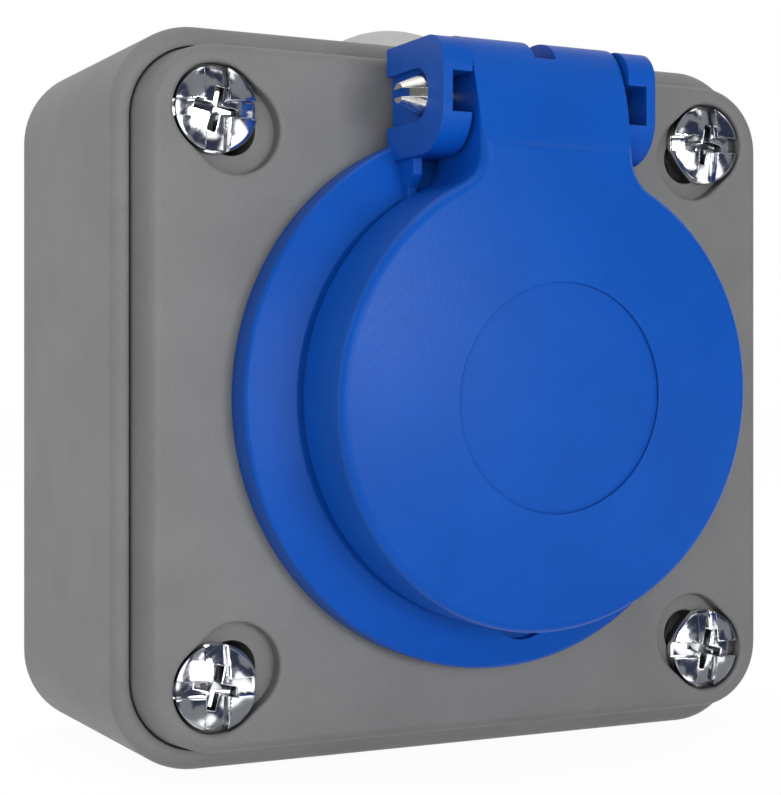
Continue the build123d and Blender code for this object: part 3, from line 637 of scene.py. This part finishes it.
def set_cover_screws():
    form = new_piece("screw form", make_screw(), bright_plating)
    values = {"Screw": form, "Across": SCREW_ACROSS, "Up": SCREW_UP, "Seat": SCREW_SEAT}
    values["Plating"] = bright_plating
    for i, turn in enumerate(SCREW_TURNS):
        values["Turn " + str(i + 1)] = math.radians(turn)
    screws = grown("corner_screws", corner_screws_tree(), values)
    bpy.data.objects.remove(form)
    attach(screws, "housing")
    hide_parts("cover_screws")


set_cover_screws()


def photo_camera():
    """Level camera where the photographer stood, with the photograph's centre of view."""
    data = bpy.data.cameras.new("photo view")
    longer = max(PHOTO_WIDE, PHOTO_HIGH)
    data.lens = FOCAL_LENGTH * data.sensor_width / longer
    data.shift_x = (PHOTO_WIDE / 2 - VIEW_CENTRE[0]) / longer
    data.shift_y = (VIEW_CENTRE[1] - PHOTO_HIGH / 2) / longer
    data.clip_start = CAMERA_NEAR
    camera = new_piece("photo view", data)
    camera.location = CAMERA_AT
    camera.rotation_euler = (math.radians(90), 0, math.radians(CAMERA_TURN))
    bpy.context.scene.camera = camera


def soft_light(name, place_at, size, power):
    data = bpy.data.lights.new(name, "AREA")
    data.shape = "RECTANGLE"
    data.size, data.size_y = size
    data.energy = power
    light = new_piece(name, data)
    light.location = place_at
    towards = Vector(LIGHT_AIM) - Vector(place_at)
    light.rotation_euler = towards.to_track_quat("-Z", "Y").to_euler()


def dim_room():
    """World: dim in front and bright behind for matt skins, a panelled room in the metal."""
    world = bpy.data.worlds.new("white backdrop, dim room")
    world.use_nodes = True
    bpy.context.scene.world = world
    tree = world.node_tree
    ground = tree.nodes["Background"]
    towards = add(tree, "ShaderNodeTexCoord").outputs["Generated"]
    aim = add(tree, "ShaderNodeSeparateXYZ", {0: towards})
    backdrop = spread(tree, aim.outputs["Y"], 0.0, 1.0, -HORIZON, HORIZON)
    ray = add(tree, "ShaderNodeLightPath").outputs
    lit = times(tree, spread(tree, backdrop, *MATT_STRENGTH), ray["Is Diffuse Ray"])
    mirrored = times(tree, spread(tree, backdrop, *MIRROR_STRENGTH), ray["Is Glossy Ray"])
    seen = maths(tree, "MAXIMUM", ray["Is Camera Ray"], ray["Is Transmission Ray"])
    strength = maths(tree, "ADD", maths(tree, "ADD", lit, mirrored), seen)
    feeds = {"Vector": towards, "Scale": PANEL_SCALE}
    panels = add(tree, "ShaderNodeTexVoronoi", feeds, distance="CHEBYCHEV").outputs["Color"]
    shade = add(tree, "ShaderNodeSeparateXYZ", {0: panels}).outputs[0]
    room = add(tree, "ShaderNodeValToRGB", {0: shade})
    room.color_ramp.interpolation = "CONSTANT"
    steps = room.color_ramp.elements
    steps[0].color = PANEL_DARK
    steps[1].position = WHITE_FROM
    steps[1].color = PANEL_WHITE
    steps.new(GREY_FROM).color = PANEL_GREY
    facing = maths(tree, "SUBTRACT", ray["Is Glossy Ray"], backdrop, clamp=True)
    colour = blend(tree, facing, PANEL_WHITE[:3], room.outputs["Color"])
    feed(tree, ground.inputs["Color"], colour)
    feed(tree, ground.inputs["Strength"], strength)


def pale_floor():
    """Floor under the part: to the camera nearly all glow, with a faint shade of the part."""
    work = bmesh.new()
    low = cad_box[0][2] - FLOOR_BELOW
    corners = [(x * FLOOR_HALF, y * FLOOR_HALF, low) for x, y in SQUARE]
    work.faces.new([work.verts.new(corner) for corner in corners])
    material, tree, shader = new_material("pale floor")
    tree.nodes.remove(shader)
    matt = add(tree, "ShaderNodeBsdfDiffuse", {"Color": FLOOR_COLOUR}).outputs[0]
    glow = add(tree, "ShaderNodeEmission", {"Strength": FLOOR_GLOW}).outputs[0]
    ray = add(tree, "ShaderNodeLightPath").outputs
    share = times(tree, ray["Is Camera Ray"], GLOW_SHARE)
    mix = add(tree, "ShaderNodeMixShader", {0: share, 1: matt, 2: glow})
    feed(tree, tree.nodes["Material Output"].inputs["Surface"], mix.outputs[0])
    floor = new_piece("floor", mesh_from("floor", work), material)
    floor.visible_shadow = False
    floor.visible_glossy = False


photo_camera()
for name, place_at, size, power in LIGHTS:
    soft_light(name, place_at, size, power)
dim_room()
pale_floor()
bpy.context.scene.view_settings.view_transform = "Standard"
